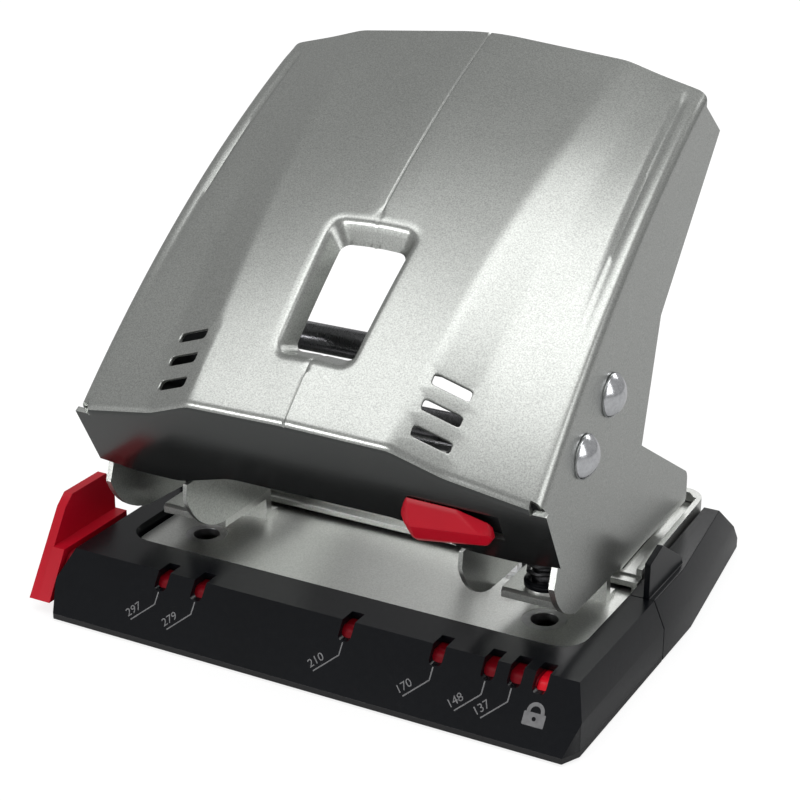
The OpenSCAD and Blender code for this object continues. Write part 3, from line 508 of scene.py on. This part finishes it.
def build(name, verts, faces, material, body, nodes=(), *, sharp=35.0, modifiers=(), shaded=True,
          painted_shade_look=None):
    """A piece in metres from points in millimetres."""
    mesh = bpy.data.meshes.new(name)
    mesh.from_pydata([p * MM for p in verts], [], faces)
    bm = bmesh.new()
    bm.from_mesh(mesh)
    bmesh.ops.remove_doubles(bm, verts=bm.verts, dist=1e-6)
    bmesh.ops.delete(bm, geom=[v for v in bm.verts if not v.link_faces], context="VERTS")
    if not modifiers and shaded:
        bmesh.ops.recalc_face_normals(bm, faces=bm.faces)
    bm.to_mesh(mesh)
    bm.free()
    item = bpy.data.objects.new(name, mesh)
    bpy.context.collection.objects.link(item)
    for kind, values in modifiers:
        modifier = item.modifiers.new(kind.lower(), kind)
        for key, value in values.items():
            setattr(modifier, key, value)
    if modifiers:
        graph = bpy.context.evaluated_depsgraph_get()
        item.data = bpy.data.meshes.new_from_object(item.evaluated_get(graph))
        item.modifiers.clear()
        item.data.name = name
    if shaded:
        item.data.shade_smooth()
        item.data.set_sharp_from_angle(angle=math.radians(sharp))
        item.modifiers.new("even_normals", "WEIGHTED_NORMAL").keep_sharp = True
    item.data.materials.clear()
    item.data.materials.append(material)
    # The lip's faces take a far darker copy of the silver lacquer: painted shade on the lip
    if painted_shade_look:
        item.data.materials.append(painted_shade_look)
        out = Vector((0, -1, -LIP_SLOPE)) / LIP_RUN
        for face in item.data.polygons:
            p = face.center / MM
            depth = (p.y - LIP_Y) - LIP_SLOPE * (LIP_Z - p.z)
            if face.normal.dot(out) > 0.93 and -0.5 < depth < 0.6 and p.z < LIP_Z + 8:
                face.material_index = 1
    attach(item, body)
    if nodes:
        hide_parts(*nodes)
    return item


verts, faces, edges = sheet_mesh()
for top in edges:
    add_side(verts, faces, top)
BEVEL = ("BEVEL", {"width": 0.00016, "segments": 2, "limit_method": "ANGLE", "angle_limit": math.radians(50)})
build("pressed_handle", verts, faces, silver, "handle", ["handle_shell"],
      modifiers=[("SOLIDIFY", {"thickness": SHEET * MM, "offset": -1.0}), BEVEL], painted_shade_look=painted_shade_silver)
for sign, word in ((-1, "left"), (1, "right")):
    verts, faces = tail_boss(sign)
    build("tail_boss_" + word, verts, faces, silver, "handle")


def soften(width, *names):
    """Stands in for CAD nodes with the same shape and softly rounded edges."""
    for name in names:
        node = frame["nodes"][name]
        bm = bmesh.new()
        bm.from_mesh(node.data)
        bmesh.ops.remove_doubles(bm, verts=bm.verts, dist=1e-7)
        bmesh.ops.dissolve_limit(bm, angle_limit=math.radians(0.6), verts=bm.verts, edges=bm.edges)
        edges = [e for e in bm.edges if len(e.link_faces) == 2 and e.calc_face_angle(0) > math.radians(32)]
        bmesh.ops.bevel(bm, geom=edges, offset=width * MM, segments=2, profile=0.5, affect="EDGES",
                        clamp_overlap=True)
        bm.verts.index_update()
        mesh = bpy.data.meshes.new("soft_" + name)
        mesh.from_pydata([v.co for v in bm.verts], [], [[v.index for v in f.verts] for f in bm.faces])
        bm.free()
        mesh.shade_smooth()
        mesh.set_sharp_from_angle(angle=math.radians(40))
        mesh.materials.append(LOOKS[name])
        item = bpy.data.objects.new("soft_" + name, mesh)
        bpy.context.collection.objects.link(item)
        item.modifiers.new("even_normals", "WEIGHTED_NORMAL").keep_sharp = True
        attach(item, BODY[name])
        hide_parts(name)


soften(0.35, "base_housing", "chip_tray", "guide_stop", "guide_bar", "guide_pointer")
soften(0.5, "bed_pan")
soften(0.25, "base_floor", "rubber_sole", "punch_tower_left", "punch_tower_right")
soften(0.12, "pin_ring_left", "pin_ring_right", "lever_plate_left", "lever_plate_right", "shaft_caps", "upper_shaft",
       "lower_shaft", "lock_latch", "press_block_left", "press_block_right", "pivot_axle", "hinge_bracket_left",
       "hinge_bracket_right", "die_bush_left", "die_bush_right", "bed_screws", "tower_rivets")

# Return springs, copied from the CAD coils as smooth-shaded pieces
for word in ("left", "right"):
    name = "return_spring_" + word
    low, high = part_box(name)
    mesh = frame["nodes"][name].data
    coil = build("coil_" + word, [v.co / MM for v in mesh.vertices], [list(f.vertices) for f in mesh.polygons],
                 spring_steel, "base", [name], sharp=40)
    coil.modifiers.clear()
    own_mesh(coil)

# Lock button: a wedge with a creased front, in (x, distance down the lip, height off it) ------------------

# Its seat on the lip, the rim above that, then the raised face
BUTTON = [(22.6, 4.2, 0.15), (20.8, 8.2, 0.15), (21.4, 14.9, 0.15), (22.6, 16.2, 0.15), (38.3, 12.9, 0.15),
          (39.9, 10.3, 0.15), (40.0, 7.7, 0.15), (39.3, 6.5, 0.15), (33.2, 4.4, 0.15),
          (22.9, 5.0, 0.9), (21.0, 8.5, 1.2), (21.9, 14.8, 1.5), (23.0, 15.7, 1.5), (38.2, 12.4, 1.3),
          (39.8, 10.0, 1.3), (39.9, 8.0, 1.2), (39.2, 7.0, 1.0), (33.4, 5.2, 0.9),
          (22.2, 9.2, 2.6), (23.8, 9.0, 3.2), (38.0, 7.6, 2.5), (39.3, 8.2, 1.9), (23.2, 13.9, 2.3),
          (37.8, 11.6, 1.8)]
bm = bmesh.new()
for x, s, d in BUTTON:
    bm.verts.new((lip(x, s) + Vector((0, -1, -LIP_SLOPE)) * (d / LIP_RUN)) * MM)
bmesh.ops.convex_hull(bm, input=bm.verts)
bmesh.ops.delete(bm, geom=[v for v in bm.verts if not v.link_faces], context="VERTS")
bmesh.ops.dissolve_limit(bm, angle_limit=math.radians(4), verts=bm.verts, edges=bm.edges)
bmesh.ops.bevel(bm, geom=[e for e in bm.edges if e.calc_face_angle(0) > 0.1], offset=0.0005, segments=3, profile=0.5,
                affect="EDGES", clamp_overlap=True)
bm.verts.index_update()
build("lock_wedge", [v.co / MM for v in bm.verts], [[v.index for v in f.verts] for f in bm.faces], red, "lock",
      ["lock_button"], sharp=50)
bm.free()

# The part of the latch's slide that shows through the slot beside the button
slide = [lip(x, s) - Vector((0, -1, -LIP_SLOPE)) * (d / LIP_RUN) for d in (1.55, 2.3)
         for x, s in ((34.0, 3.2), (44.0, 3.2), (44.4, 3.6), (44.4, 12.0), (44.0, 12.4), (34.0, 12.4))]
build("slot_slide", slide, [(0, 5, 4, 3, 2, 1), (6, 7, 8, 9, 10, 11)] + [(k, (k + 1) % 6, 6 + (k + 1) % 6, 6 + k)
      for k in range(6)], floor_black, "lock", sharp=30)

# Printing on the front face -----------------------------------------------
# Points are (x, distance up the face) in millimetres.

FACE_UP, FACE_OUT = Vector((0, 0.5865, 0.8100)), Vector((0, -0.8100, 0.5865))
INK_LIFT, INK_WIDE, CAP_HEIGHT = 0.03, 0.26, 1.7
SLANT = math.radians(45)


def on_face(x, u, lift):
    return Vector((x, -51, 1.6)) + FACE_UP * u + FACE_OUT * lift


def flat_piece(name, loops):
    """Thin ink: each loop of (x, u) points is filled and stands just proud of the face."""
    verts, faces = [], []
    for loop in loops:
        outline, holes = (loop, []) if not isinstance(loop, tuple) else loop
        flat = [p for part in [outline] + holes for p in part]
        start, count = len(verts), len(flat)
        verts += [on_face(p.x, p.y, lift) for lift in (INK_LIFT, -INK_LIFT) for p in flat]
        for tri in tessellate_polygon([[Vector((p.x, p.y, 0)) for p in part] for part in [outline] + holes]):
            a, b, c = [flat[k] for k in tri]
            turn = (b - a).x * (c - a).y - (b - a).y * (c - a).x
            if abs(turn) > 1e-9:
                faces.append(tuple(start + k for k in (tri if turn > 0 else tri[::-1])))
        at = start
        for part in [outline] + holes:
            for k in range(len(part)):
                n = (k + 1) % len(part)
                faces.append((at + k, at + count + k, at + count + n, at + n))
            at += len(part)
    return build(name, verts, faces, ink, "base", shaded=False)


def stroke(points, wide):
    """A mitred line as one loop."""
    left, right = [], []
    for k, p in enumerate(points):
        before = (p - points[k - 1]).normalized() if k else None
        after = (points[k + 1] - p).normalized() if k + 1 < len(points) else None
        along = ((before or after) + (after or before)).normalized()
        n = Vector((-along.y, along.x)) * (wide / 2 / max(0.3, along.dot(after or before)))
        left.append(p + n)
        right.append(p - n)
    return right + left[::-1]


def numeral(text, corner):
    curve = bpy.data.curves.new("numeral", "FONT")
    curve.body = text
    curve.resolution_u = 4
    probe = bpy.data.objects.new("numeral", curve)
    bpy.context.collection.objects.link(probe)
    mesh = bpy.data.meshes.new_from_object(probe.evaluated_get(bpy.context.evaluated_depsgraph_get()))
    bpy.data.objects.remove(probe)
    high = max(v.co.y for v in mesh.vertices)
    low = min(v.co.x for v in mesh.vertices)
    grow = CAP_HEIGHT / high
    c, s = math.cos(SLANT), math.sin(SLANT)
    verts = []
    for lift in (INK_LIFT, -INK_LIFT):
        for v in mesh.vertices:
            x, y = (v.co.x - low) * grow * 0.96, v.co.y * grow
            verts.append(on_face(corner.x + x * c - y * s, corner.y + x * s + y * c, lift))
    count = len(mesh.vertices)
    faces, seen = [], {}
    for f in mesh.polygons:
        ring = list(f.vertices)
        if f.normal.z < 0:
            ring.reverse()
        faces.append(tuple(ring))
        for k, a in enumerate(ring):
            seen[a, ring[(k + 1) % len(ring)]] = True
    faces += [(a, a + count, b + count, b) for a, b in seen if (b, a) not in seen]
    return build("numeral_" + text, verts, faces, ink, "base", shaded=False)


n = Nodes("grey_ink")
ink = n.finish(n.ramp(n.noise(900, 2.0), [(0.3, (0.12, 0.12, 0.125)), (0.7, (0.17, 0.17, 0.175))]), Roughness=0.5)
for x, text in ((-35.0, "297"), (-26.1, "279"), (8.5, "210"), (28.4, "170"), (39.4, "148"), (44.9, "137")):
    points = [Vector((x, 10.0)), Vector((x, 7.4)), Vector((x - 4.4, 3.15))]
    flat_piece("leader_" + text, [stroke(points, INK_WIDE)])
    numeral(text, Vector((x - 5.15, 3.55)))


def round_box(x0, x1, y0, y1, r, steps=5):
    return (arc((x1 - r, y1 - r), r, 0, 90, steps) + arc((x0 + r, y1 - r), r, 90, 180, steps)
            + arc((x0 + r, y0 + r), r, 180, 270, steps) + arc((x1 - r, y0 + r), r, 270, 360, steps))


shackle_out = [Vector((52.6, 6.7))] + arc((50.8, 6.96), 1.8, 0, 180, 14) + [Vector((49.0, 6.7))]
shackle_in = [Vector((49.75, 6.7))] + arc((50.8, 6.96), 1.05, 180, 0, 12) + [Vector((51.85, 6.7))]
lock_body = (round_box(48.6, 53.0, 4.2, 6.77, 0.25), [circle((50.8, 5.6), 0.42, 14)[::-1]])
flat_piece("padlock_mark", [lock_body, shackle_out + shackle_in])

# Stage ------------------------------------------------------------------

floor_mesh = bpy.data.meshes.new("floor")
floor_mesh.from_pydata([(-4, -4, 0), (4, -4, 0), (4, 4, 0), (-4, 4, 0)], [], [(0, 1, 2, 3)])
floor = bpy.data.objects.new("floor", floor_mesh)
bpy.context.collection.objects.link(floor)
floor.location.z = -0.0002
n = Nodes("pale_floor")
diffuse = n.add("ShaderNodeBsdfDiffuse", Color=(0.8, 0.8, 0.8, 1))
glow = n.add("ShaderNodeEmission", Color=(1, 1, 1, 1), Strength=1.16)
path = n.add("ShaderNodeLightPath")
share = n.add("ShaderNodeMath", operation="MULTIPLY")
share.inputs[1].default_value = 0.72
n.link(path.outputs["Is Camera Ray"], share.inputs[0])
blend = n.add("ShaderNodeMixShader")
n.link(share.outputs[0], blend.inputs[0])
n.link(diffuse.outputs[0], blend.inputs[1])
n.link(glow.outputs[0], blend.inputs[2])
dim = n.add("ShaderNodeBsdfDiffuse", Color=(0.55, 0.55, 0.55, 1))
mirrored = n.add("ShaderNodeMixShader")
n.link(path.outputs["Is Glossy Ray"], mirrored.inputs[0])
n.link(blend.outputs[0], mirrored.inputs[1])
n.link(dim.outputs[0], mirrored.inputs[2])
n.link(mirrored.outputs[0], n.tree.nodes["Material Output"].inputs["Surface"])
floor_mesh.materials.append(n.mat)

world = bpy.data.worlds.new("studio")
bpy.context.scene.world = world
world.use_nodes = True
tree = world.node_tree
ground = tree.nodes["Background"]
ground.inputs["Color"].default_value = (1, 1, 1, 1)
path = tree.nodes.new("ShaderNodeLightPath")
level = tree.nodes.new("ShaderNodeMapRange")
level.inputs["To Min"].default_value = 0.4
level.inputs["To Max"].default_value = 1.0
tree.links.new(path.outputs["Is Camera Ray"], level.inputs["Value"])
tree.links.new(level.outputs["Result"], ground.inputs["Strength"])


# Name, place, point aimed at, size and power
SOFTBOXES = (
    ("key", (0.06, -0.16, 0.95), (0, 0, 0.05), (0.52, 0.48), 2.0),
    ("upper_left", (-0.4, -0.3, 0.84), (0, 0, 0.05), (0.42, 0.42), 1.25),
    ("side", (0.85, -0.35, 0.6), (0, 0, 0.05), (0.6, 0.8), 3),
    ("front_strip", (-0.36, -0.78, 0.2), (0, 0, 0.05), (0.34, 0.12), 2.0),
    ("rear", (0.1, 0.7, 0.6), (0, 0, 0.06), (0.8, 0.3), 3),
)
for name, place_at, aim, size, power in SOFTBOXES:
    lamp = bpy.data.lights.new(name, "AREA")
    lamp.shape = "RECTANGLE"
    lamp.size, lamp.size_y = size
    lamp.energy = power
    item = bpy.data.objects.new(name, lamp)
    item.location = place_at
    item.rotation_euler = (Vector(aim) - Vector(place_at)).to_track_quat("-Z", "Y").to_euler()
    bpy.context.collection.objects.link(item)

bpy.context.scene.view_settings.view_transform = "Standard"
